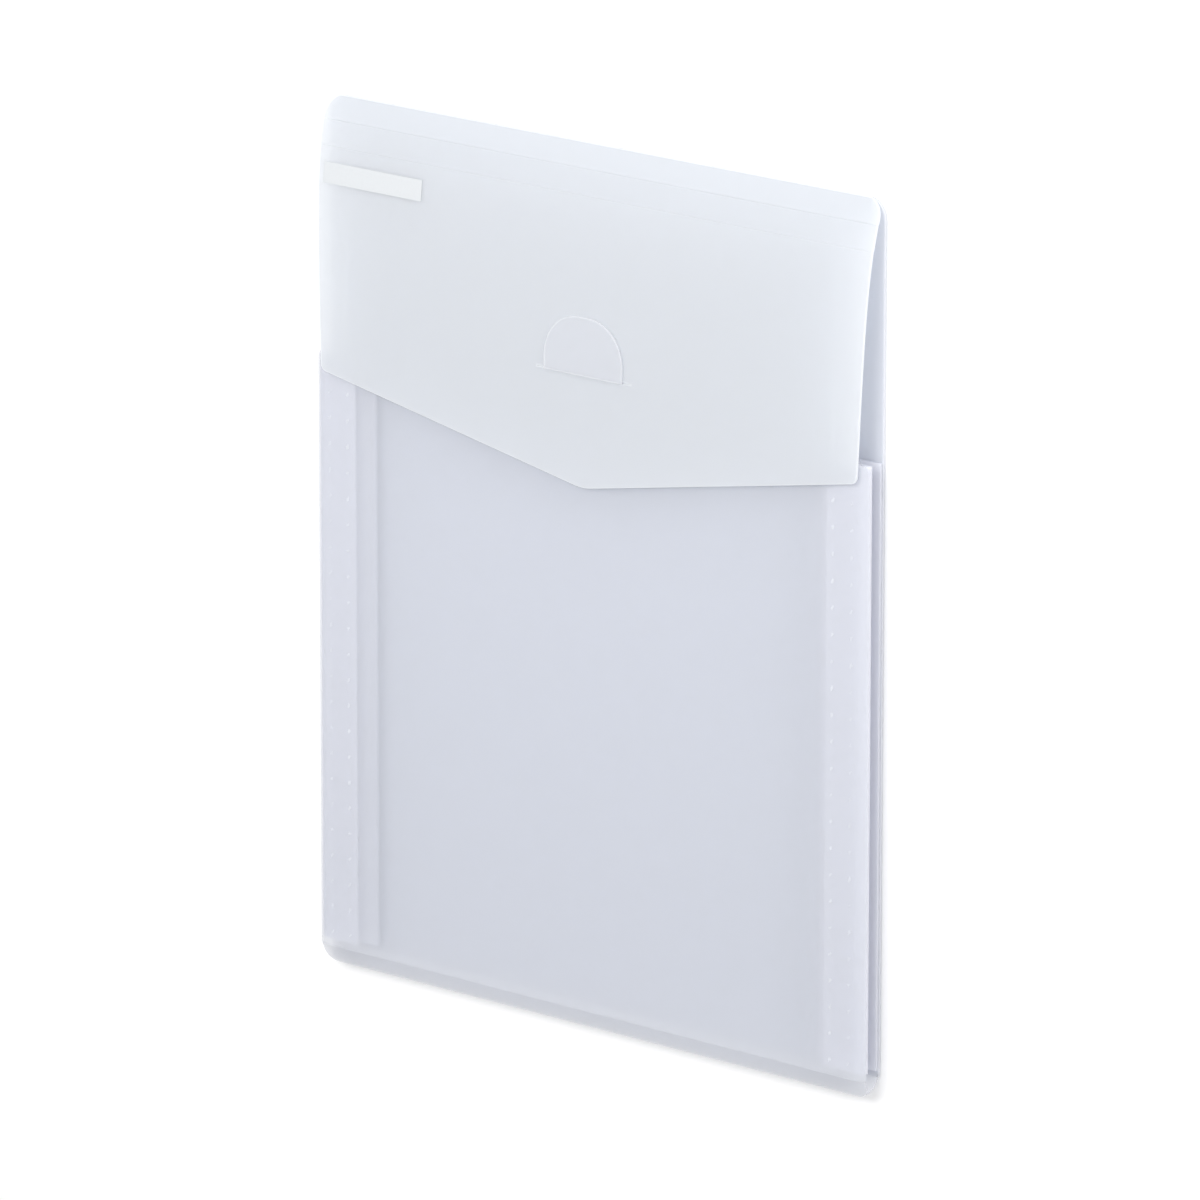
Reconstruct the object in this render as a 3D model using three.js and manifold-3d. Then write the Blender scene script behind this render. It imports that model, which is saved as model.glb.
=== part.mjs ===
// A document wallet for A4 papers, in frosted polypropylene, lying on its back panel.
// X runs across it, Y runs up to the top fold where the flap hangs, and Z points out of the front.
// One scored sheet makes the back, the bottom fold, the front and the flap. Two narrow strips,
// each folded into a V, close the sides and are spot welded to the sheet. A tongue cut out of the
// front threads through a slit in the flap and holds the wallet shut.
// All sizes are in millimetres.
import * as THREE from 'three';
import { mergeVertices } from 'three/addons/utils/BufferGeometryUtils.js';
import Module from 'manifold-3d';

const wasm = await Module();
wasm.setup();

// Overall sizes
const WIDTH = 262;
const HEIGHT = 330;
const BODY_DEPTH = 9.4;
const SHEET = 0.6;
const STRIP = 0.4;
const TOP_CORNER = 8;
const BASE_CORNER = 9;

// Clearances: across a score line, and between sheets that lie on each other
const SCORE = 0.3;
const LAP = 0.4;
const WELD_GAP = 0.1;

// Front panel
const MOUTH_DROP = 95.5;
const EXTENSION_DROP = 20;
const EXTENSION_INSET = 15.5;
const EXTENSION_CORNER = 8;
const SHOULDER_CORNER = 5;
const POCKET_CORNER = 3;
const EDGE_ROUND = 5;
const EDGE_FALL = 1.6;

// Flap, measured down from the top fold
const FIRST_SCORE = 9.3;
const SECOND_SCORE = 18.6;
const FLAP_SIDE = 102;
const FLAP_TIP = 125.4;
const FLAP_TAPER = 4;
const FLAP_CORNER = 3;
const TIP_ROUND = 22;
const FLAP_BEND = 19;
const FLAP_LIFT = 0.013;

// Lock
const SLIT_DROP = 83.5;
const SLIT_LENGTH = 44.6;
const SLIT_WIDTH = 1.4;
const TONGUE_WIDTH = 37;
const TONGUE_LENGTH = 21.5;
const TONGUE_CORNER = 16;
const TONGUE_ROOT = 5.5;
const TONGUE_KERF = 0.4;
const TONGUE_CLEARANCE = 0.3;
const RISER_SETBACK = 0.45;
const RISER_LEAN = 0.35;

// Side gussets
const GUSSET_DEPTH = 25;
const FLANGE_WIDTH = 19;
const GUSSET_BASE_GAP = 2.5;

// Bottom fold
const BOTTOM_FOLD = 6.5;
const BOTTOM_INSET = 3;
const BOTTOM_CORNER = 6.5;

// Spot welds
const WELD_COUNT = 22;
const WELD_DIAMETER = 2;
const WELD_HEIGHT = 0.2;
const WELD_OUTER_ROW = 7;
const WELD_INNER_ROW = 15.7;
const WELD_END_MARGIN = 14.5;
const WELD_BASE_MARGIN = 3.1;
const WELD_SIDES = 8;

// Label
const LABEL_WIDTH = 47.7;
const LABEL_HEIGHT = 7.8;
const LABEL_DROP = 24.3;
const LABEL_SIDE_GAP = 2.6;
const LABEL_THICKNESS = 0.15;
const LABEL_LIFT = 0.05;

// Smoothness of curved outlines and bends
const ARC_STEPS = 8;
const BEND_STEP = 6;
const EDGE_STEPS = 4;

// Spare length of a bent sheet, which its outline trims off
const TRIM = 1;

// Places worked out from the sizes above
const SIDE = WIDTH / 2;
const TOP = HEIGHT / 2;
const BASE = -HEIGHT / 2;
const MOUTH = TOP - MOUTH_DROP;
const SLIT = TOP - SLIT_DROP;
const FRONT_INSIDE = BODY_DEPTH - SHEET;
const ABOVE_ALL = BODY_DEPTH * 2 + SHEET;
const BOTTOM_HALF = (FRONT_INSIDE - SHEET) / 2;
const BOTTOM_ANGLE = Math.atan2(BOTTOM_HALF, BOTTOM_FOLD);
const BOTTOM_MIDDLE = SHEET + BOTTOM_HALF;
const FOLD_LINE = BASE + SHEET / Math.sin(BOTTOM_ANGLE);
const BOTTOM_CREASE = FOLD_LINE + BOTTOM_FOLD;
const GUSSET_BASE = BOTTOM_CREASE + GUSSET_BASE_GAP;

const sheetMaterial = new THREE.MeshStandardMaterial({
  name: 'frosted_sheet',
  color: 0xd8dce4,
  roughness: 0.45,
  metalness: 0,
});
const stripMaterial = new THREE.MeshStandardMaterial({
  name: 'gusset_strip',
  color: 0xc4c7d3,
  roughness: 0.4,
  metalness: 0,
});
const labelMaterial = new THREE.MeshStandardMaterial({
  name: 'label_film',
  color: 0xf1f4f6,
  roughness: 0.5,
  metalness: 0,
});

// Profiles of thin sheet

function point(u, v) {
  return new THREE.Vector2(u, v);
}

// The unit normal on the right-hand side of the step from one point to the next.
function rightOf(from, to) {
  const step = to.clone().sub(from).normalize();
  return point(step.y, -step.x);
}

// A path shifted to its right-hand side, with mitred bends.
function shifted(path, distance) {
  const last = path.length - 1;
  return path.map((here, i) => {
    const before = i > 0 ? rightOf(path[i - 1], here) : rightOf(here, path[1]);
    const after = i < last ? rightOf(here, path[i + 1]) : before;
    const mitre = before.clone().add(after).normalize();
    return here.clone().addScaledVector(mitre, distance / mitre.dot(before));
  });
}

// The section of a sheet with one face on the path and its body on the right-hand side of it.
function section(path, thickness) {
  return new THREE.Shape([...path, ...shifted(path, thickness).reverse()]);
}

// A closed outline from corners given as [x, y, radius].
function rounded(corners) {
  const shape = new THREE.Shape();
  corners.forEach(([x, y, radius], i) => {
    const [lastX, lastY] = corners[(i + corners.length - 1) % corners.length];
    const [nextX, nextY] = corners[(i + 1) % corners.length];
    const corner = point(x, y);
    const back = point(lastX, lastY).sub(corner).normalize();
    const ahead = point(nextX, nextY).sub(corner).normalize();
    const half = Math.acos(THREE.MathUtils.clamp(back.dot(ahead), -1, 1)) / 2;
    const reach = radius / Math.tan(half);
    const start = corner.clone().addScaledVector(back, reach);
    const end = corner.clone().addScaledVector(ahead, reach);
    const middle = back.clone().add(ahead).normalize();
    const centre = corner.clone().addScaledVector(middle, radius / Math.sin(half));
    const fromAngle = Math.atan2(start.y - centre.y, start.x - centre.x);
    const toAngle = Math.atan2(end.y - centre.y, end.x - centre.x);
    if (i === 0) shape.moveTo(start.x, start.y);
    else shape.lineTo(start.x, start.y);
    if (radius > 0) shape.absarc(centre.x, centre.y, radius, fromAngle, toAngle, back.cross(ahead) > 0);
  });
  shape.closePath();
  return shape;
}

// Solids

const AXIS_X = new THREE.Vector3(1, 0, 0);
const AXIS_Y = new THREE.Vector3(0, 1, 0);
const AXIS_Z = new THREE.Vector3(0, 0, 1);
const ACROSS = new THREE.Matrix4().makeBasis(AXIS_Y, AXIS_Z, AXIS_X);
const UPWARD = new THREE.Matrix4().makeBasis(AXIS_X, AXIS_Z, AXIS_Y.clone().negate());

function toSolid(geometry) {
  geometry.deleteAttribute('normal');
  geometry.deleteAttribute('uv');
  const merged = mergeVertices(geometry, 1e-5);
  const vertProperties = new Float32Array(merged.attributes.position.array);
  const triVerts = new Uint32Array(merged.index.array);
  return new wasm.Manifold(new wasm.Mesh({ numProp: 3, vertProperties, triVerts }));
}

function extruded(shape, depth) {
  return new THREE.ExtrudeGeometry(shape, { depth, bevelEnabled: false, curveSegments: ARC_STEPS });
}

// A section in Y and Z, drawn out along X.
function drawnAcross(shape, from, to) {
  return toSolid(extruded(shape, to - from).translate(0, 0, from).applyMatrix4(ACROSS));
}

// A section in X and Z, drawn out along Y.
function drawnUpward(shape, from, to) {
  return toSolid(extruded(shape, to - from).translate(0, 0, -to).applyMatrix4(UPWARD));
}

// An outline in X and Y, drawn out along Z.
function punch(shape, from, to) {
  return toSolid(extruded(shape, to - from).translate(0, 0, from));
}

function bar(x0, x1, y0, y1, z0, z1) {
  const box = new THREE.BoxGeometry(x1 - x0, y1 - y0, z1 - z0);
  return toSolid(box.translate((x0 + x1) / 2, (y0 + y1) / 2, (z0 + z1) / 2));
}

// The stretch of a solid between two heights on Y, over the whole width.
function stretch(solid, from, to) {
  return solid.intersect(bar(-WIDTH, WIDTH, from, to, -BODY_DEPTH, ABOVE_ALL));
}

function piece(name, solid, material) {
  const { vertProperties, triVerts } = solid.getMesh();
  const geometry = new THREE.BufferGeometry();
  geometry.setAttribute('position', new THREE.BufferAttribute(new Float32Array(vertProperties), 3));
  geometry.setIndex(new THREE.BufferAttribute(new Uint32Array(triVerts), 1));
  const mesh = new THREE.Mesh(geometry, material);
  mesh.name = name;
  return mesh;
}

// Heights above the table

const BEND_RISE = (BODY_DEPTH + LAP - SHEET - FLAP_LIFT * SLIT_DROP)
  / (1 - Math.exp(-SLIT_DROP / FLAP_BEND));

// The flap's inner face at a distance down from the top fold. It rises steeply out of the fold,
// levels out over the papers and ends a little clear of the front.
function flapInside(drop) {
  return SHEET + BEND_RISE * (1 - Math.exp(-drop / FLAP_BEND)) + FLAP_LIFT * drop;
}

// The front panel's outer face. Above the slit it leans back under the flap.
function frontOutside(drop) {
  return Math.min(BODY_DEPTH, flapInside(drop) - LAP);
}

// Points along a bend from one drop to another, at even steps.
function bendPoints(from, to, height) {
  const count = Math.max(2, Math.ceil(Math.abs(to - from) / BEND_STEP));
  return Array.from({ length: count + 1 }, (_, i) => {
    const drop = from + (to - from) * i / count;
    return point(TOP - drop, height(drop));
  });
}

// The front panel's outer face across its right-hand edge, from a place near the middle out to
// the side crease. The sheet rounds over there to meet the gusset.
function edgePath(fromX) {
  const path = [point(fromX, BODY_DEPTH)];
  for (let i = 0; i <= EDGE_STEPS; i++) {
    const share = i / EDGE_STEPS;
    path.push(point(SIDE - EDGE_ROUND * (1 - share), BODY_DEPTH - EDGE_FALL * share ** 2));
  }
  return path;
}

// Spot welds

// The raised spots that the welding pins leave on a face at the given height: two rows along the
// flange. Each spot reaches into the sheet under it by its own height.
function weldSpots(side, face) {
  const first = MOUTH - WELD_END_MARGIN;
  const last = GUSSET_BASE + WELD_BASE_MARGIN;
  const radius = WELD_DIAMETER / 2;
  const spots = [];
  for (const row of [WELD_OUTER_ROW, WELD_INNER_ROW]) {
    for (let i = 0; i < WELD_COUNT; i++) {
      const y = first + (last - first) * i / (WELD_COUNT - 1);
      const spot = new THREE.CylinderGeometry(radius, radius, WELD_HEIGHT * 2, WELD_SIDES);
      spots.push(toSolid(spot.rotateX(Math.PI / 2).translate(side * (SIDE - row), y, face)));
    }
  }
  return wasm.Manifold.compose(spots);
}

// The sheet

function walletOutline() {
  return rounded([
    [SIDE, BASE, BASE_CORNER],
    [SIDE, TOP, TOP_CORNER],
    [-SIDE, TOP, TOP_CORNER],
    [-SIDE, BASE, BASE_CORNER],
  ]);
}

function backPanel() {
  const plate = punch(walletOutline(), 0, SHEET);
  return stretch(plate, BOTTOM_CREASE + SCORE / 2, TOP - SCORE / 2);
}

// The tongue's D outline, grown on every side but its root by a margin.
function tongueOutline(root, margin) {
  const side = TONGUE_WIDTH / 2 + margin;
  const top = SLIT + TONGUE_LENGTH + margin;
  return rounded([
    [side, root, 0],
    [side, top, TONGUE_CORNER + margin],
    [-side, top, TONGUE_CORNER + margin],
    [-side, root, 0],
  ]);
}

function frontOutline() {
  const neck = SIDE - EXTENSION_INSET;
  const crown = TOP - EXTENSION_DROP;
  const foot = BOTTOM_CREASE + SCORE / 2;
  return rounded([
    [SIDE, foot, POCKET_CORNER],
    [SIDE, MOUTH, POCKET_CORNER],
    [neck, MOUTH, SHOULDER_CORNER],
    [neck, crown, EXTENSION_CORNER],
    [-neck, crown, EXTENSION_CORNER],
    [-neck, MOUTH, SHOULDER_CORNER],
    [-SIDE, MOUTH, POCKET_CORNER],
    [-SIDE, foot, POCKET_CORNER],
  ]);
}

// The root of the tongue turns up out of the front panel and stands in the flap's slit.
function tongueRiser() {
  const root = SLIT - TONGUE_ROOT;
  const foot = SLIT - SLIT_WIDTH / 2 + RISER_SETBACK - RISER_LEAN;
  const path = [
    point(root - TONGUE_ROOT, BODY_DEPTH),
    point(foot, BODY_DEPTH),
    point(foot + RISER_LEAN, flapInside(SLIT_DROP) + SHEET),
  ];
  return drawnAcross(section(path, SHEET), -TONGUE_WIDTH / 2, TONGUE_WIDTH / 2);
}

function frontPanel() {
  const half = edgePath(SIDE - FLANGE_WIDTH);
  const mirror = half.map((p) => point(-p.x, p.y)).reverse();
  const pocket = drawnUpward(section([...mirror, ...half], SHEET), BASE, MOUTH);
  const leanPath = [
    point(MOUTH - SHOULDER_CORNER, BODY_DEPTH),
    ...bendPoints(SLIT_DROP, EXTENSION_DROP - TRIM, frontOutside),
  ];
  const neck = SIDE - EXTENSION_INSET + SHOULDER_CORNER;
  const extension = drawnAcross(section(leanPath, SHEET), -neck, neck);
  const window = punch(tongueOutline(SLIT - TONGUE_ROOT, TONGUE_KERF), 0, ABOVE_ALL);
  return pocket
    .add(extension)
    .intersect(punch(frontOutline(), 0, ABOVE_ALL))
    .subtract(window)
    .add(tongueRiser())
    .add(weldSpots(-1, BODY_DEPTH))
    .add(weldSpots(1, BODY_DEPTH));
}

// The free end of the tongue, lying on the flap above the slit.
function lockTongue() {
  const heel = SLIT_DROP + SLIT_WIDTH / 2 - RISER_SETBACK;
  const onFlap = (drop) => flapInside(drop) + SHEET + TONGUE_CLEARANCE;
  const path = bendPoints(SLIT_DROP - TONGUE_LENGTH - TRIM, heel, onFlap);
  const blade = drawnAcross(section(path, SHEET), -TONGUE_WIDTH / 2, TONGUE_WIDTH / 2);
  return blade.intersect(punch(tongueOutline(SLIT - TONGUE_ROOT, 0), 0, ABOVE_ALL));
}

// The bottom fold: a V that points away from the pocket, cut into its two halves.
function bottomHalf(isFront) {
  const path = [
    point(BOTTOM_CREASE, FRONT_INSIDE),
    point(FOLD_LINE, BOTTOM_MIDDLE),
    point(BOTTOM_CREASE, SHEET),
  ];
  const side = SIDE - BOTTOM_INSET;
  const fold = drawnAcross(section(path, SHEET), -side, side);
  const outline = rounded([
    [side, BASE, BOTTOM_CORNER],
    [side, BOTTOM_CREASE + SHEET, 0],
    [-side, BOTTOM_CREASE + SHEET, 0],
    [-side, BASE, BOTTOM_CORNER],
  ]);
  const low = isFront ? BOTTOM_MIDDLE + SCORE / 2 : -SHEET;
  const high = isFront ? ABOVE_ALL : BOTTOM_MIDDLE - SCORE / 2;
  return fold.intersect(punch(outline, low, high));
}

// The flap's inner face: flat between the top fold and the two score lines, and bent below them.
function flapPath() {
  return [
    point(TOP, flapInside(0)),
    point(TOP - FIRST_SCORE, flapInside(FIRST_SCORE)),
    ...bendPoints(SECOND_SCORE, FLAP_TIP + TRIM, flapInside),
  ];
}

// The flap in one piece. Its score lines let it bend round the papers.
function wholeFlap() {
  const outline = rounded([
    [SIDE, TOP, TOP_CORNER],
    [-SIDE, TOP, TOP_CORNER],
    [-SIDE + FLAP_TAPER, TOP - FLAP_SIDE, FLAP_CORNER],
    [0, TOP - FLAP_TIP, TIP_ROUND],
    [SIDE - FLAP_TAPER, TOP - FLAP_SIDE, FLAP_CORNER],
  ]);
  const slit = rounded([
    [SLIT_LENGTH / 2, SLIT - SLIT_WIDTH / 2, 0],
    [SLIT_LENGTH / 2, SLIT + SLIT_WIDTH / 2, 0],
    [-SLIT_LENGTH / 2, SLIT + SLIT_WIDTH / 2, 0],
    [-SLIT_LENGTH / 2, SLIT - SLIT_WIDTH / 2, 0],
  ]);
  return drawnAcross(section(flapPath(), SHEET), -SIDE, SIDE)
    .intersect(punch(outline, 0, ABOVE_ALL))
    .subtract(punch(slit, 0, ABOVE_ALL));
}

// The stretch of the flap between two drops, clear of the score lines at both.
function flapStretch(from, to) {
  return stretch(wholeFlap(), TOP - to + SCORE / 2, TOP - from - SCORE / 2);
}

// The side strips

// Their creases: on the back, at the inner fold and on the front.
const BACK_CREASE_Z = SHEET + WELD_GAP + STRIP + SCORE / 2;
const frontCrease = shifted(edgePath(SIDE - FLANGE_WIDTH), SHEET + WELD_GAP + STRIP).pop();
const CREASE_X = frontCrease.x;
const FRONT_CREASE_Z = frontCrease.y - SCORE / 2;
const INNER_FOLD_X = SIDE - GUSSET_DEPTH;
const INNER_FOLD_Z = (BACK_CREASE_Z + FRONT_CREASE_Z) / 2;

// A path or outline on the right-hand side, or its mirror image on the left.
function onSide(side, path) {
  return side > 0 ? path : path.map((p) => point(-p.x, p.y)).reverse();
}

function frontFlange(side) {
  const path = shifted(edgePath(SIDE - FLANGE_WIDTH), SHEET + WELD_GAP);
  return drawnUpward(section(onSide(side, path), STRIP), GUSSET_BASE, MOUTH - SCORE);
}

function backFlange(side) {
  const height = SHEET + WELD_GAP + STRIP;
  const path = [point(SIDE - FLANGE_WIDTH, height), point(CREASE_X, height)];
  return drawnUpward(section(onSide(side, path), STRIP), GUSSET_BASE, MOUTH - SCORE)
    .add(weldSpots(side, height));
}

// The half of the V next to the front, and the half next to the back.
function frontHalf(side) {
  const path = [point(INNER_FOLD_X, INNER_FOLD_Z + SCORE / 2 + STRIP), point(CREASE_X, FRONT_CREASE_Z)];
  return drawnUpward(section(onSide(side, path), STRIP), GUSSET_BASE, MOUTH - SCORE);
}

function backHalf(side) {
  const path = [point(CREASE_X, BACK_CREASE_Z), point(INNER_FOLD_X, INNER_FOLD_Z - SCORE / 2 - STRIP)];
  return drawnUpward(section(onSide(side, path), STRIP), GUSSET_BASE, MOUTH - SCORE);
}

// The label on the flap, near its upper left corner
function label() {
  const path = shifted(flapPath(), SHEET + LABEL_LIFT);
  const left = -SIDE + FLAP_TAPER * LABEL_DROP / FLAP_SIDE + LABEL_SIDE_GAP;
  const film = drawnAcross(section(path, LABEL_THICKNESS), left, left + LABEL_WIDTH);
  return stretch(film, TOP - LABEL_DROP - LABEL_HEIGHT, TOP - LABEL_DROP);
}

// The wallet

const wallet = new THREE.Group();
wallet.name = 'document_wallet';
wallet.add(
  piece('back_panel', backPanel(), sheetMaterial),
  piece('bottom_gusset_back', bottomHalf(false), sheetMaterial),
  piece('bottom_gusset_front', bottomHalf(true), sheetMaterial),
  piece('front_panel', frontPanel(), sheetMaterial),
  piece('lock_tongue', lockTongue(), sheetMaterial),
  piece('flap_spine_upper', flapStretch(0, FIRST_SCORE), sheetMaterial),
  piece('flap_spine_lower', flapStretch(FIRST_SCORE, SECOND_SCORE), sheetMaterial),
  piece('flap', flapStretch(SECOND_SCORE, FLAP_TIP + TRIM), sheetMaterial),
  piece('label', label(), labelMaterial),
);
for (const [hand, side] of [['left', -1], ['right', 1]]) {
  wallet.add(
    piece(`gusset_flange_back_${hand}`, backFlange(side), stripMaterial),
    piece(`gusset_half_back_${hand}`, backHalf(side), stripMaterial),
    piece(`gusset_half_front_${hand}`, frontHalf(side), stripMaterial),
    piece(`gusset_flange_front_${hand}`, frontFlange(side), stripMaterial),
  );
}

export default wallet;
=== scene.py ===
"""A document wallet of frosted polypropylene sheet, lying on its back on a pale table.

Lengths in this script are in millimetres until a mesh is made, which is in metres.
X runs across the wallet, Y runs up to the top fold, Z comes out of the front.
"""
import math

import bmesh
import bpy
from mathutils import Matrix, Vector


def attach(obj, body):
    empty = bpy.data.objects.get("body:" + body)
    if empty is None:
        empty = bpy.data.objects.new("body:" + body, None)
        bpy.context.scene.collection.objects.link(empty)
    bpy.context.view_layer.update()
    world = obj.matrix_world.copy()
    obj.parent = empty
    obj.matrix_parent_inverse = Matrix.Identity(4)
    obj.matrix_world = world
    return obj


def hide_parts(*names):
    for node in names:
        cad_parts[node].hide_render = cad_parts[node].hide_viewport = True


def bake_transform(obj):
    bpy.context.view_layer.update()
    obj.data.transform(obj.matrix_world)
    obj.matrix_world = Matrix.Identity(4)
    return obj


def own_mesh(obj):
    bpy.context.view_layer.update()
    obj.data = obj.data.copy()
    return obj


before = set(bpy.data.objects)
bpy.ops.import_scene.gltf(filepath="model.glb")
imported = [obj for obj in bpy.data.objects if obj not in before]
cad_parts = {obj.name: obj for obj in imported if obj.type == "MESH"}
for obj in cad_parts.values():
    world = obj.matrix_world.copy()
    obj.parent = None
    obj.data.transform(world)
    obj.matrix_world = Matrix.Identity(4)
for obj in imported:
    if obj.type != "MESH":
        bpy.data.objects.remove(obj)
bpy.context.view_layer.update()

MM = 0.001


# Sizes of the wallet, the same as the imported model's

SIDE = 131
TOP = 165
BASE = -165
DEPTH = 9.4
SHEET = 0.6
TOP_CORNER = 8
BASE_CORNER = 9

FIRST_SCORE = 9.3
SECOND_SCORE = 18.6
FLAP_SIDE = 102
FLAP_TIP = 125.4
FLAP_TAPER = 4
FLAP_CORNER = 3
FLAP_TIP_ROUND = 22
FLAP_BEND = 19
FLAP_LIFT = 0.013
SLIT_DROP = 83.5
SLIT_LENGTH = 44.6
# From the front's outer face to the flap's inner face at the slit
LAP = 0.4

MOUTH = TOP - 95.5
MOUTH_CORNER = 3
NECK = SIDE - 15.5
NECK_FOOT = 5
NECK_CORNER = 8
CROWN = TOP - 20
BOTTOM_CREASE = -157.375
# The folded edge, which is rounded off a little short of the fold line
FOLD_EDGE = BASE + 0.26
FOLD_INSET = 0.5
FOLD_CORNER = 5.5
# The back half stops this far above the fold line, where its inner face meets the front half's
FOLD_BACK_STOP = 1.2
# The front rounds over at the pocket's sides, this far across and this far down
EDGE_ROUND = 5
EDGE_FALL = 1.6

SLIT = TOP - SLIT_DROP
TONGUE_SIDE = 18.5
TONGUE_TOP = SLIT + 21.5
TONGUE_ROOT = SLIT - 5.5
TONGUE_HEEL = SLIT - 0.25
TONGUE_CORNER = 16
# The tongue's root turns up out of the front round a small bend, through most of a right angle
ROOT_RUN = 1.0
ROOT_BEND = 0.9
ROOT_TURN = 0.85
# and the blade lies over the flap with this much air under it
TONGUE_AIR = 0.3
KERF = 0.4

WELD_OUTER_ROW = SIDE - 7
WELD_INNER_ROW = SIDE - 15.7
WELD_COUNT = 22
WELD_TOP = 55
WELD_PITCH = -206.775 / 21
WELD_DIAMETER = 2
# A spot's crown and its narrower way across, as shares of its diameter
WELD_CROWN = 0.3
WELD_NARROW = 0.6
# A spot's foot, where its origin is, lies this far below the front's face
WELD_SUNK = 0.02

# The least that keeps two facets of one sheet from touching at a score line
SCORE_GAP = 0.01
# A free cut edge is painted with a glow this far into the sheet, whiter and less clear: a painted
# highlight of the light the sheet carries to its edge
EDGE_GLOW = 0.7
# and a score line is painted with a fainter glow this far to each side, this much
SCORE_GLOW = 0.6
SCORE_GLOW_STRENGTH = 0.3


# Materials


def linear(hex_colour):
    """An sRGB hex colour as linear RGBA."""
    channels = [int(hex_colour[i : i + 2], 16) / 255 for i in (1, 3, 5)]
    return [c / 12.92 if c <= 0.04045 else ((c + 0.055) / 1.055) ** 2.4 for c in channels] + [1.0]


def add_node(tree, kind, settings=None, links=None, **properties):
    """Adds a node, sets its sockets and properties, and links other sockets into it."""
    node = tree.nodes.new(kind)
    for name, value in properties.items():
        setattr(node, name, value)
    for name, value in (settings or {}).items():
        node.inputs[name].default_value = value
    for name, source in (links or {}).items():
        tree.links.new(source, node.inputs[name])
    return node


def new_material(name):
    material = bpy.data.materials.new(name)
    material.use_nodes = True
    material.node_tree.nodes.clear()
    return material, material.node_tree


POLYMER_IOR = 1.49
DRAWN_GRAIN = 0.6
# The colour of the glow painted along cut edges and score lines
PAINTED_GLOW_COLOUR = "#f8f9fb"
# and the tint of the light that goes straight through the sheet
CLEAR_COLOUR = "#fbfbfc"


def frosted_sheet(name, face_colour, back_colour, roughness, clear, painted_glow_clear, passed):
    """Extruded polypropylene with a matt embossed face: it scatters light to both sides and lets a
    little straight through, so a layer that touches it from behind still shows. Along its cut edges
    and score lines it is painted whiter and less clear, a painted glow of the light that the sheet
    carries to its edges."""
    material, tree = new_material(name)
    place = add_node(tree, "ShaderNodeTexCoord")
    # the embossed grain is about 0.3 mm across; drawn at twice that so that it shows at all
    grain = add_node(tree, "ShaderNodeTexNoise", {"Scale": 1 / (DRAWN_GRAIN * MM), "Detail": 3.0},
                     {"Vector": place.outputs["Object"]})
    bump = add_node(tree, "ShaderNodeBump", {"Strength": 0.06, "Distance": 0.05 * MM},
                    {"Height": grain.outputs["Fac"]})
    # the painted glow along cut edges and score lines
    painted_glow = add_node(tree, "ShaderNodeAttribute", attribute_name="painted_glow")
    whitened = add_node(tree, "ShaderNodeMix",
                        {"A": linear(face_colour), "B": linear(PAINTED_GLOW_COLOUR)},
                        {"Factor": painted_glow.outputs["Fac"]}, data_type="RGBA")
    face = add_node(tree, "ShaderNodeBsdfPrincipled", {"Roughness": roughness, "IOR": POLYMER_IOR},
                    {"Base Color": whitened.outputs["Result"], "Normal": bump.outputs["Normal"]})
    through = add_node(tree, "ShaderNodeBsdfTranslucent", {"Color": linear(back_colour)},
                       {"Normal": bump.outputs["Normal"]})
    scatter = add_node(tree, "ShaderNodeMixShader", {"Fac": passed})
    tree.links.new(face.outputs[0], scatter.inputs[1])
    tree.links.new(through.outputs[0], scatter.inputs[2])
    open_part = add_node(tree, "ShaderNodeBsdfTransparent", {"Color": linear(CLEAR_COLOUR)})
    share = add_node(tree, "ShaderNodeMapRange", {"To Min": clear, "To Max": painted_glow_clear},
                     {"Value": painted_glow.outputs["Fac"]})
    mixed = add_node(tree, "ShaderNodeMixShader", None, {"Fac": share.outputs["Result"]})
    tree.links.new(scatter.outputs[0], mixed.inputs[1])
    tree.links.new(open_part.outputs[0], mixed.inputs[2])
    add_node(tree, "ShaderNodeOutputMaterial", None, {"Surface": mixed.outputs[0]})
    return material


# The wallet is die cut from one polypropylene sheet, extruded and embossed matt. To the eye it is
# like ground glass: a pale grey-blue film with a soft sheen, in which what touches it from behind
# shows. On the real sheet a layer blurs and fades the further behind it lies, which these shaders
# can't do, so each part of the sheet has a finish of its own. This one is the front's.
SHEET_FINISH = frosted_sheet(
    "frosted_polypropylene", "#eceef1", "#f5f6f9",
    roughness=0.45, clear=0.55, painted_glow_clear=0.1, passed=0.5)
# The back, lying on the table. It is painted a little darker and less clear than the front, as
# painted shade, without which it can't be told from the table once the flap is open.
BACK_PAINTED_SHADE_FINISH = frosted_sheet(
    "frosted_polypropylene_back_painted_shade", "#eaecf1", "#f1f3f7",
    roughness=0.45, clear=0.36, painted_glow_clear=0.1, passed=0.5)
# The flap, which stands off the layers behind it. They fade, and leave it more evenly pale.
FLAP_FINISH = frosted_sheet(
    "frosted_polypropylene_flap", "#eef0f3", "#f6f8f9",
    roughness=0.45, clear=0.22, painted_glow_clear=0.1, passed=0.5)
# The tongue, which lies close on the flap, so that the flap's tone shows through it and little more
# than the glow painted on its cut edge sets it off.
TONGUE_FINISH = frosted_sheet(
    "frosted_polypropylene_tongue", "#f4f5f8", "#f9fafb",
    roughness=0.45, clear=0.62, painted_glow_clear=0.5, passed=0.4)
# The side strips: thinner polypropylene film, extruded and folded. Up to four layers lie on each
# other. Through the front they are a slightly lighter band, and at the open side a blue-grey one.
STRIP_FINISH = frosted_sheet(
    "frosted_polypropylene_strip", "#f6f7fb", "#fafafd",
    roughness=0.4, clear=0.29, painted_glow_clear=0.2, passed=0.36)


LABEL_MOTTLE = 1.0


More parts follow.
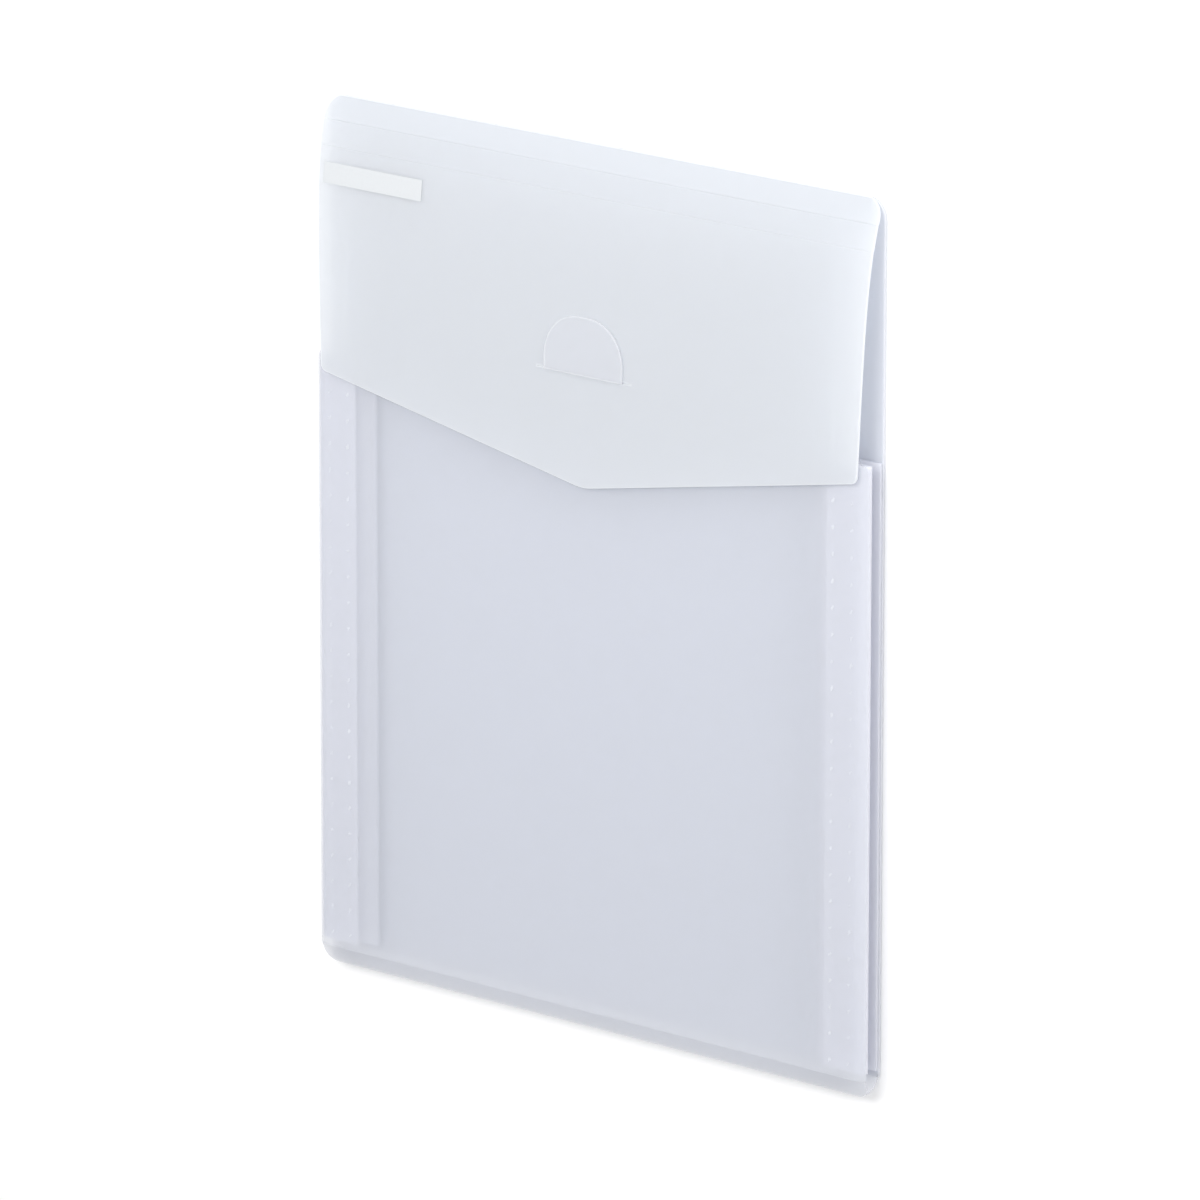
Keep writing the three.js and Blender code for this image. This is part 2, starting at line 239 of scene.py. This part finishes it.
def label_finish():
    """Self-adhesive white film, coated matt: the only opaque thing on the wallet, so it is a plain
    pale slip that nothing shows through, with a very faint mottle."""
    material, tree = new_material("white_film_label")
    place = add_node(tree, "ShaderNodeTexCoord")
    # the coating's mottle is about 1 mm across
    mottle = add_node(tree, "ShaderNodeTexNoise", {"Scale": 1 / (LABEL_MOTTLE * MM), "Detail": 2.0},
                      {"Vector": place.outputs["Object"]})
    tint = add_node(tree, "ShaderNodeMix", {"A": linear("#cacdd0"), "B": linear("#cfd2d5")},
                    {"Factor": mottle.outputs["Fac"]}, data_type="RGBA")
    face = add_node(tree, "ShaderNodeBsdfPrincipled", {"Roughness": 0.5},
                    {"Base Color": tint.outputs["Result"]})
    add_node(tree, "ShaderNodeOutputMaterial", None, {"Surface": face.outputs[0]})
    return material


LABEL_FINISH = label_finish()


WELD_MOTTLE = 0.5


def weld_glint_finish(name, colour, clear):
    """Polypropylene that a welding pin has melted and let set. Its pale colour is a painted glint
    off each spot, so each spot is a small pale fleck, most of which is still seen through."""
    material, tree = new_material(name)
    place = add_node(tree, "ShaderNodeTexCoord")
    # the pin's face leaves a mottle of about 0.5 mm
    mottle = add_node(tree, "ShaderNodeTexNoise", {"Scale": 1 / (WELD_MOTTLE * MM), "Detail": 1.0},
                      {"Vector": place.outputs["Object"]})
    bump = add_node(tree, "ShaderNodeBump", {"Strength": 0.3, "Distance": 0.1 * MM},
                    {"Height": mottle.outputs["Fac"]})
    face = add_node(tree, "ShaderNodeBsdfPrincipled",
                    {"Base Color": linear(colour), "Roughness": 0.45, "IOR": POLYMER_IOR},
                    {"Normal": bump.outputs["Normal"]})
    open_part = add_node(tree, "ShaderNodeBsdfTransparent")
    mixed = add_node(tree, "ShaderNodeMixShader", {"Fac": clear})
    tree.links.new(face.outputs[0], mixed.inputs[1])
    tree.links.new(open_part.outputs[0], mixed.inputs[2])
    add_node(tree, "ShaderNodeOutputMaterial", None, {"Surface": mixed.outputs[0]})
    return material


# The inner row's painted glint shows a little more than the outer one's
INNER_WELD_FINISH = weld_glint_finish("melted_spot", "#fbfcfd", clear=0.85)
OUTER_WELD_FINISH = weld_glint_finish("faint_melted_spot", "#fbfcfd", clear=0.9)


# Making a piece of sheet


def rounded(corners, steps=10):
    """The points of a closed outline, from corners given as (x, y, radius)."""
    outline = []
    for i, (x, y, radius) in enumerate(corners):
        corner = Vector((x, y))
        back = (Vector(corners[i - 1][:2]) - corner).normalized()
        ahead = (Vector(corners[(i + 1) % len(corners)][:2]) - corner).normalized()
        if not radius:
            outline.append((x, y))
            continue
        half = back.angle(ahead) / 2
        middle = corner + (back + ahead).normalized() * radius / math.sin(half)
        start = corner + back * radius / math.tan(half) - middle
        end = corner + ahead * radius / math.tan(half) - middle
        first = math.atan2(start.y, start.x)
        turn = (math.atan2(end.y, end.x) - first + math.pi) % math.tau - math.pi
        for step in range(steps + 1):
            angle = first + turn * step / steps
            outline.append((middle.x + radius * math.cos(angle),
                            middle.y + radius * math.sin(angle)))
    return outline


def evenly(start, end, step):
    count = max(1, math.ceil(abs(end - start) / step))
    return [start + (end - start) * i / count for i in range(count + 1)]


# Edges sharper than this are softened, and edges sharper than that stay crisp in the shading
SOFTENED_FROM = math.radians(50)
CRISP_FROM = math.radians(35)
WELD_CRISP_FROM = math.radians(50)


def solid_piece(name, mesh, material, body=None, thickness=0.0, edge=0.12):
    """Gives a mesh its thickness and soft edges, and makes it a piece that rides on a body."""
    maker = bpy.data.objects.new(name + "_maker", mesh)
    bpy.context.scene.collection.objects.link(maker)
    if thickness:
        wall = maker.modifiers.new("wall", "SOLIDIFY")
        wall.thickness = abs(thickness) * MM
        wall.offset = 1 if thickness > 0 else -1
        wall.use_even_offset = True
    if edge:
        softened = maker.modifiers.new("soft_edge", "BEVEL")
        softened.width = edge * MM
        softened.segments = 2
        softened.limit_method = "ANGLE"
        softened.angle_limit = SOFTENED_FROM
        softened.use_clamp_overlap = False
    depsgraph = bpy.context.evaluated_depsgraph_get()
    shaped = bpy.data.meshes.new_from_object(
        maker.evaluated_get(depsgraph), preserve_all_data_layers=True, depsgraph=depsgraph)
    bpy.data.objects.remove(maker)
    shaped.name = name
    shaped.materials.clear()
    shaped.materials.append(material)
    shaped.shade_smooth()
    shaped.set_sharp_from_angle(angle=CRISP_FROM)
    piece = bpy.data.objects.new(name, shaped)
    bpy.context.scene.collection.objects.link(piece)
    if body:
        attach(piece, body)
    return piece


def sheet_mesh(name, outline, height, rows, columns=(), holes=(), above=None, below=None,
               scored=(), is_free=lambda x, y: True):
    """One face of a sheet, cut to an outline with holes and bent so that it lies at height(x, y).
    It bends at the rows and columns. Its painted_glow attribute, which paints a glow into the
    sheet's colour, is 1 at its free cut edges, a little at score lines, and fades into the sheet."""
    work = bmesh.new()
    painted_glow = work.verts.layers.float.new("painted_glow")
    for loop in (outline, *holes):
        corners = [work.verts.new((x, y, 0)) for x, y in loop]
        for i, corner in enumerate(corners):
            work.edges.new((corners[i - 1], corner))
    bmesh.ops.triangle_fill(work, use_beauty=True, edges=work.edges[:])
    bmesh.ops.inset_region(work, faces=work.faces[:], thickness=EDGE_GLOW, use_boundary=True,
                           use_even_offset=True)
    for corner in work.verts:
        free = corner.is_boundary and is_free(corner.co.x, corner.co.y)
        corner[painted_glow] = 1.0 if free else 0.0

    def cut(place, along, drop_outer=False, drop_inner=False):
        bmesh.ops.bisect_plane(work, geom=[*work.verts, *work.edges, *work.faces], dist=1e-4,
                               plane_co=place, plane_no=along, clear_outer=drop_outer,
                               clear_inner=drop_inner)

    if above is not None:
        cut((0, above, 0), (0, 1, 0), drop_inner=True)
    if below is not None:
        cut((0, below, 0), (0, 1, 0), drop_outer=True)
    near_scores = [line + offset for line in scored for offset in (-SCORE_GLOW, SCORE_GLOW)]
    for row in (*rows, *near_scores):
        cut((0, row, 0), (0, 1, 0))
    for column in columns:
        cut((column, 0, 0), (1, 0, 0))
    bmesh.ops.dissolve_degenerate(work, dist=0.004, edges=work.edges[:])
    # a fainter painted glow along the score lines
    for corner in work.verts:
        for line in scored:
            fade = SCORE_GLOW_STRENGTH * (1 - abs(corner.co.y - line) / SCORE_GLOW)
            corner[painted_glow] = max(corner[painted_glow], fade)
        corner.co.z = height(corner.co.x, corner.co.y)
    work.normal_update()
    for face in work.faces:
        if face.normal.z < 0:
            face.normal_flip()
    work.transform(Matrix.Scale(MM, 4))
    mesh = bpy.data.meshes.new(name)
    work.to_mesh(mesh)
    work.free()
    return mesh


def drawn_mesh(name, section, half_width):
    """A closed section in Y and Z, drawn out across X to half_width(y) on both sides."""
    work = bmesh.new()
    ends = [[work.verts.new((side * half_width(y), y, z)) for y, z in section] for side in (-1, 1)]
    for i in range(len(section)):
        work.faces.new((ends[0][i - 1], ends[0][i], ends[1][i], ends[1][i - 1]))
    for end in ends:
        work.faces.new(end)
    bmesh.ops.recalc_face_normals(work, faces=work.faces[:])
    work.transform(Matrix.Scale(MM, 4))
    mesh = bpy.data.meshes.new(name)
    work.to_mesh(mesh)
    work.free()
    return mesh


# Heights above the table

BEND_RISE = (DEPTH + LAP - SHEET - FLAP_LIFT * SLIT_DROP) / (1 - math.exp(-SLIT_DROP / FLAP_BEND))


def bent_inside(drop):
    """The flap's inner face at a distance down from the top fold."""
    return SHEET + BEND_RISE * (1 - math.exp(-drop / FLAP_BEND)) + FLAP_LIFT * drop


def between(drop, start, start_height, end, end_height):
    return start_height + (end_height - start_height) * (drop - start) / (end - start)


# The back and the flap's first facet both stop this far short of the top fold's edge
FOLD_DROP = 0.75


def flap_inside(x, y):
    """The inner face with its two flat facets under the top fold."""
    drop = TOP - y
    if drop < FIRST_SCORE:
        return between(drop, FOLD_DROP, SHEET, FIRST_SCORE, bent_inside(FIRST_SCORE))
    if drop < SECOND_SCORE:
        return between(drop, FIRST_SCORE, bent_inside(FIRST_SCORE),
                       SECOND_SCORE, bent_inside(SECOND_SCORE))
    return bent_inside(drop)


def front_outside(x, y):
    """The front panel's outer face: it rounds over at both sides of the pocket, and above the
    slit it leans back under the flap."""
    if y > MOUTH + 0.01:
        return min(DEPTH, bent_inside(TOP - y) - LAP)
    share = max(0.0, (abs(x) - (SIDE - EDGE_ROUND)) / EDGE_ROUND)
    return DEPTH - EDGE_FALL * share ** 2


FOLD_HEIGHT = (DEPTH - SHEET) / 2 + SHEET / 2


def bottom_front_outside(x, y):
    """The front half of the bottom fold, from the front's lower crease down to the fold line."""
    return between(y, BOTTOM_CREASE, front_outside(x, BOTTOM_CREASE), BASE, FOLD_HEIGHT)


def bottom_back_outside(x, y):
    return between(y, BOTTOM_CREASE, 0, BASE, FOLD_HEIGHT)


# The sheet


def corner_width(y):
    """Half the width of the sheet at a height near its rounded top corners."""
    rise = max(0.0, y - (TOP - TOP_CORNER))
    return SIDE - TOP_CORNER + math.sqrt(TOP_CORNER ** 2 - rise ** 2)


def back_panel():
    outline = rounded([
        (SIDE, BASE, BASE_CORNER), (SIDE, TOP, TOP_CORNER),
        (-SIDE, TOP, TOP_CORNER), (-SIDE, BASE, BASE_CORNER)])
    mesh = sheet_mesh("back_sheet", outline, lambda x, y: SHEET, evenly(BASE, TOP, 30),
                      above=BOTTOM_CREASE + SCORE_GAP, below=TOP - FOLD_DROP)
    piece = solid_piece("back_sheet", mesh, BACK_PAINTED_SHADE_FINISH, "back", -SHEET)
    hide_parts("back_panel")


def top_fold():
    """The sheet turned over on itself at the top, from the back to the flap's first facet."""
    lean = math.atan2(bent_inside(FIRST_SCORE) - SHEET, FIRST_SCORE - FOLD_DROP)
    centre_y, centre_z = TOP - FOLD_DROP, SHEET
    section = [(centre_y, centre_z - 0.02)]
    for step in range(13):
        angle = -math.pi / 2 + (math.pi - lean) * step / 12
        section.append((centre_y + SHEET * math.cos(angle), centre_z + SHEET * math.sin(angle)))
    mesh = drawn_mesh("top_fold", section, corner_width)
    # the whole fold is painted with the cut edges' glow
    mesh.attributes.new("painted_glow", "FLOAT", "POINT")
    mesh.attributes["painted_glow"].data.foreach_set("value", [1.0] * len(mesh.vertices))
    piece = solid_piece("top_fold", mesh, SHEET_FINISH, edge=0)
    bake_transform(piece)


def flap_outline():
    return rounded([
        (SIDE, TOP, TOP_CORNER), (-SIDE, TOP, TOP_CORNER),
        (-SIDE + FLAP_TAPER, TOP - FLAP_SIDE, FLAP_CORNER), (0, TOP - FLAP_TIP, FLAP_TIP_ROUND),
        (SIDE - FLAP_TAPER, TOP - FLAP_SIDE, FLAP_CORNER)], 14)


def flap_facet(name, node, body, from_drop, to_drop, rows, edge, holes=()):
    mesh = sheet_mesh(name, flap_outline(), flap_inside, rows, holes=holes,
                      above=TOP - to_drop + SCORE_GAP, below=TOP - from_drop - SCORE_GAP,
                      scored=[TOP - FIRST_SCORE, TOP - SECOND_SCORE])
    piece = solid_piece(name, mesh, FLAP_FINISH, body, SHEET, edge=edge)
    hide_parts(node)


def whole_flap():
    flap_facet("spine_upper_sheet", "flap_spine_upper", "spine_upper",
               FOLD_DROP, FIRST_SCORE, (), edge=0.02)
    flap_facet("spine_lower_sheet", "flap_spine_lower", "spine_lower",
               FIRST_SCORE, SECOND_SCORE, (), edge=0.02)
    # the slit is cut with a thin blade; the tongue holds it a little open
    half, held, low, high = SLIT_LENGTH / 2, TONGUE_SIDE + 0.1, SLIT - 0.15, SLIT + 0.5
    right_half = [(held, low), (held, low + 0.25), (half, low + 0.27), (half, low + 0.37),
                  (held, low + 0.39), (held, high)]
    slit = [*right_half, *[(-x, y) for x, y in reversed(right_half)]]
    flap_facet("flap_sheet", "flap", "flap", SECOND_SCORE, FLAP_TIP + 5,
               evenly(TOP - SECOND_SCORE, TOP - FLAP_TIP, 2), edge=0.06, holes=[slit])


def tongue_outline(root, margin):
    side, top = TONGUE_SIDE + margin, TONGUE_TOP + margin
    return rounded([
        (side, root, 0), (side, top, TONGUE_CORNER + margin),
        (-side, top, TONGUE_CORNER + margin), (-side, root, 0)], 16)


def front_panel():
    outline = rounded([
        (SIDE, BOTTOM_CREASE + SCORE_GAP, 0), (SIDE, MOUTH, MOUTH_CORNER),
        (NECK, MOUTH, NECK_FOOT), (NECK, CROWN, NECK_CORNER),
        (-NECK, CROWN, NECK_CORNER), (-NECK, MOUTH, NECK_FOOT),
        (-SIDE, MOUTH, MOUTH_CORNER), (-SIDE, BOTTOM_CREASE + SCORE_GAP, 0)])
    rounding = evenly(SIDE - EDGE_ROUND, SIDE, 1)[:-1]
    columns = [side * x for side in (-1, 1) for x in rounding]
    # of the front's cut edges only the mouth's and the neck's are painted with a glow, and these
    # are the ones that lie above the mouth's line, less the rounding of its outer corners
    mesh = sheet_mesh("front_sheet", outline, front_outside,
                      [*evenly(MOUTH, CROWN, 2), *evenly(BOTTOM_CREASE, MOUTH, 40)], columns,
                      holes=[tongue_outline(TONGUE_ROOT, KERF)],
                      is_free=lambda x, y: y > MOUTH - 2 and abs(x) < SIDE - MOUTH_CORNER)
    piece = solid_piece("front_sheet", mesh, SHEET_FINISH, "front", -SHEET)
    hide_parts("front_panel")

    # the root of the tongue turns up out of the front and stands in the flap's slit
    path = [(TONGUE_ROOT + 0.02, DEPTH), (TONGUE_HEEL - ROOT_RUN, DEPTH)]
    for step in range(1, 7):
        turn = math.pi / 2 * step / 6 * ROOT_TURN
        path.append((TONGUE_HEEL - ROOT_RUN + ROOT_BEND * math.sin(turn),
                     DEPTH + ROOT_BEND * (1 - math.cos(turn))))
    path.append((TONGUE_HEEL + 0.05, bent_inside(SLIT_DROP) + SHEET + 0.15))
    inner = []
    for i, (y, z) in enumerate(path):
        y0, z0 = path[max(i - 1, 0)]
        y1, z1 = path[min(i + 1, len(path) - 1)]
        length = math.hypot(y1 - y0, z1 - z0)
        inner.append((y + (z1 - z0) / length * SHEET, z - (y1 - y0) / length * SHEET))
    mesh = drawn_mesh("tongue_root", [*path, *reversed(inner)], lambda y: TONGUE_SIDE)
    solid_piece("tongue_root", mesh, SHEET_FINISH, "front", edge=0)


def bottom_fold():
    side = SIDE - FOLD_INSET
    rounding = evenly(SIDE - EDGE_ROUND, side, 1)
    columns = [end * x for end in (-1, 1) for x in rounding]
    crease = BOTTOM_CREASE - SCORE_GAP
    outline = rounded([
        (side, FOLD_EDGE, FOLD_CORNER), (side, crease, 0),
        (-side, crease, 0), (-side, FOLD_EDGE, FOLD_CORNER)])
    mesh = sheet_mesh("bottom_front_sheet", outline, bottom_front_outside, (), columns,
                      is_free=lambda x, y: False)
    piece = solid_piece("bottom_front_sheet", mesh, SHEET_FINISH, "bottom_front", -SHEET, edge=0.05)
    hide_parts("bottom_gusset_front")
    mesh = sheet_mesh("bottom_back_sheet", outline, bottom_back_outside, (),
                      above=BASE + FOLD_BACK_STOP,
                      is_free=lambda x, y: False)
    piece = solid_piece("bottom_back_sheet", mesh, SHEET_FINISH, "bottom_back", SHEET, edge=0.05)
    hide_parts("bottom_gusset_back")


def tongue_blade():
    mesh = sheet_mesh("tongue_blade", tongue_outline(TONGUE_HEEL, 0),
                      lambda x, y: bent_inside(TOP - y) + SHEET + TONGUE_AIR,
                      evenly(TONGUE_HEEL, TONGUE_TOP, 2))
    piece = solid_piece("tongue_blade", mesh, TONGUE_FINISH, "tongue", SHEET)
    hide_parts("lock_tongue")
    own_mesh(piece)


back_panel()
top_fold()
whole_flap()
front_panel()
bottom_fold()
tongue_blade()


# Spot welds


def weld_row_tree():
    """A row of melted spots down each side of the wallet."""
    tree = bpy.data.node_groups.new("weld_rows", "GeometryNodeTree")
    sockets = {}
    for name, kind in (("Row", "NodeSocketFloat"), ("Top", "NodeSocketFloat"),
                       ("Face", "NodeSocketFloat"), ("Pitch", "NodeSocketFloat"),
                       ("Count", "NodeSocketInt"), ("Diameter", "NodeSocketFloat"),
                       ("Height", "NodeSocketFloat"), ("Seed", "NodeSocketInt"),
                       ("Finish", "NodeSocketMaterial")):
        socket = tree.interface.new_socket(name, in_out="INPUT", socket_type=kind)
        sockets[name] = socket.identifier
    tree.interface.new_socket("Welds", in_out="OUTPUT", socket_type="NodeSocketGeometry")
    sizes = add_node(tree, "NodeGroupInput").outputs
    step = add_node(tree, "ShaderNodeCombineXYZ", None, {"Y": sizes["Pitch"]})
    rows = add_node(tree, "GeometryNodeJoinGeometry")
    for side in (-1.0, 1.0):
        across = add_node(tree, "ShaderNodeMath", {1: side}, {0: sizes["Row"]},
                          operation="MULTIPLY")
        first = add_node(tree, "ShaderNodeCombineXYZ", None,
                         {"X": across.outputs[0], "Y": sizes["Top"], "Z": sizes["Face"]})
        row = add_node(tree, "GeometryNodeMeshLine", None,
                       {"Count": sizes["Count"], "Start Location": first.outputs[0],
                        "Offset": step.outputs[0]}, mode="OFFSET")
        tree.links.new(row.outputs["Mesh"], rows.inputs["Geometry"])
    foot = add_node(tree, "ShaderNodeMath", {1: 0.5}, {0: sizes["Diameter"]},
                    operation="MULTIPLY")
    crown = add_node(tree, "ShaderNodeMath", {1: WELD_CROWN}, {0: sizes["Diameter"]},
                     operation="MULTIPLY")
    spot = add_node(tree, "GeometryNodeMeshCone", {"Vertices": 12},
                    {"Radius Top": crown.outputs[0], "Radius Bottom": foot.outputs[0],
                     "Depth": sizes["Height"]})
    # no two pins press equally hard
    press = add_node(tree, "FunctionNodeRandomValue", {2: 0.8, 3: 1.1}, {"Seed": sizes["Seed"]},
                     data_type="FLOAT")
    # and each spot is a slanting oval, so that its painted glint slants
    oval = add_node(tree, "GeometryNodeTransform", {"Scale": (1.0, WELD_NARROW, 1.0)},
                    {"Geometry": spot.outputs["Mesh"]})
    slant = add_node(tree, "FunctionNodeRandomValue", {2: 0.5, 3: 1.2}, {"Seed": sizes["Seed"]},
                     data_type="FLOAT")
    turn = add_node(tree, "ShaderNodeCombineXYZ", None, {"Z": slant.outputs[1]})
    spots = add_node(tree, "GeometryNodeInstanceOnPoints", None,
                     {"Points": rows.outputs[0], "Instance": oval.outputs[0],
                      "Rotation": turn.outputs[0], "Scale": press.outputs[1]})
    real = add_node(tree, "GeometryNodeRealizeInstances", None, {"Geometry": spots.outputs[0]})
    coated = add_node(tree, "GeometryNodeSetMaterial", None,
                      {"Geometry": real.outputs[0], "Material": sizes["Finish"]})
    add_node(tree, "NodeGroupOutput", None, {"Welds": coated.outputs[0]})
    return tree, sockets


def weld_row(name, tree, sockets, row, finish, height, seed):
    maker = bpy.data.objects.new(name + "_maker", bpy.data.meshes.new(name + "_maker"))
    bpy.context.scene.collection.objects.link(maker)
    nodes = maker.modifiers.new("welds", "NODES")
    nodes.node_group = tree
    values = {"Row": row * MM, "Top": WELD_TOP * MM, "Face": (DEPTH - WELD_SUNK) * MM,
              "Pitch": WELD_PITCH * MM, "Count": WELD_COUNT, "Diameter": WELD_DIAMETER * MM,
              "Height": height * MM, "Seed": seed, "Finish": finish}
    for socket, value in values.items():
        nodes[sockets[socket]] = value
    depsgraph = bpy.context.evaluated_depsgraph_get()
    mesh = bpy.data.meshes.new_from_object(maker.evaluated_get(depsgraph))
    maker.modifiers.remove(nodes)
    bpy.data.objects.remove(maker)
    mesh.name = name
    mesh.shade_smooth()
    mesh.set_sharp_from_angle(angle=WELD_CRISP_FROM)
    piece = bpy.data.objects.new(name, mesh)
    bpy.context.scene.collection.objects.link(piece)
    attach(piece, "front")


weld_tree, weld_sockets = weld_row_tree()
weld_row("inner_weld_spots", weld_tree, weld_sockets, WELD_INNER_ROW, INNER_WELD_FINISH,
         height=0.2, seed=3)
weld_row("outer_weld_spots", weld_tree, weld_sockets, WELD_OUTER_ROW, OUTER_WELD_FINISH,
         height=0.15, seed=8)


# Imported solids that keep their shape


def finish_cad_node(node, material):
    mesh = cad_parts[node].data
    mesh.materials.clear()
    mesh.materials.append(material)


for node_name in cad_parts:
    if node_name == "label":
        finish_cad_node(node_name, LABEL_FINISH)
    elif node_name.startswith("gusset"):
        finish_cad_node(node_name, STRIP_FINISH)
    else:
        finish_cad_node(node_name, SHEET_FINISH)


# Table, light and camera


# These are in metres. The table is a little below the back, so that their faces never coincide.
TABLE_SIZE = 12
TABLE_DROP = 0.0006


def pale_table():
    """A board painted matt white: it gives back nearly all the light, with next to no gloss."""
    bpy.ops.mesh.primitive_plane_add(size=TABLE_SIZE, location=(0, 0, -TABLE_DROP))
    table = bpy.context.object
    table.name = "table"
    material, tree = new_material("matt_white_table")
    face = add_node(tree, "ShaderNodeBsdfPrincipled",
                    {"Base Color": linear("#fbfbfb"), "Roughness": 0.9, "Specular IOR Level": 0.1})
    add_node(tree, "ShaderNodeOutputMaterial", None, {"Surface": face.outputs[0]})
    table.data.materials.append(material)


def soft_box(name, place, aim, size, power):
    """A flat lamp behind white cloth, in metres and watts."""
    light = bpy.data.lights.new(name, "AREA")
    light.shape = "RECTANGLE"
    light.size, light.size_y = size
    light.energy = power
    lamp = bpy.data.objects.new(name, light)
    lamp.location = place
    lamp.rotation_euler = (Vector(aim) - Vector(place)).to_track_quat("-Z", "Y").to_euler()
    bpy.context.scene.collection.objects.link(lamp)


ROOM_LIGHT = 0.66


def studio():
    """A white room with one lamp above the top fold and a weaker one at the right."""
    world = bpy.data.worlds.new("white_room")
    bpy.context.scene.world = world
    world.use_nodes = True
    world.node_tree.nodes["Background"].inputs["Color"].default_value = (1, 1, 1, 1)
    world.node_tree.nodes["Background"].inputs["Strength"].default_value = ROOM_LIGHT
    soft_box("high_soft_box", (-0.1, 0.56, 1.02), (0, 0.16, 0), (1.1, 0.7), 9.6)
    soft_box("side_soft_box", (1.2, 0.55, 0.4), (0.1, 0.15, 0), (0.6, 0.6), 6.4)
    scene = bpy.context.scene
    scene.view_settings.view_transform = "Standard"
    # light passes through many layers of sheet
    scene.cycles.transparent_max_bounces = 32
    scene.cycles.diffuse_bounces = 12
    scene.cycles.transmission_bounces = 16
    scene.cycles.max_bounces = 16


# The photograph's viewpoint: where the camera stands, in millimetres, and its three directions
CAMERA_PLACE = (2502.2, 1042.3, 2904.7)
CAMERA_RIGHT = (0.757355, 0.000748, -0.653002)
CAMERA_UP = (-0.172478, 0.964715, -0.198936)
CAMERA_BACK = (0.629813, 0.263294, 0.730761)
SENSOR = 36
LENS = 330


def photo_camera():
    camera = bpy.data.cameras.new("camera")
    camera.sensor_width = SENSOR
    camera.lens = LENS
    camera.clip_start, camera.clip_end = 0.1, 50
    viewer = bpy.data.objects.new("camera", camera)
    right, up, back = Vector(CAMERA_RIGHT), Vector(CAMERA_UP), Vector(CAMERA_BACK)
    turn = Matrix((right, up, back)).transposed().to_4x4()
    viewer.matrix_world = Matrix.Translation(Vector(CAMERA_PLACE) * MM) @ turn
    bpy.context.scene.collection.objects.link(viewer)
    bpy.context.scene.camera = viewer


pale_table()
studio()
photo_camera()
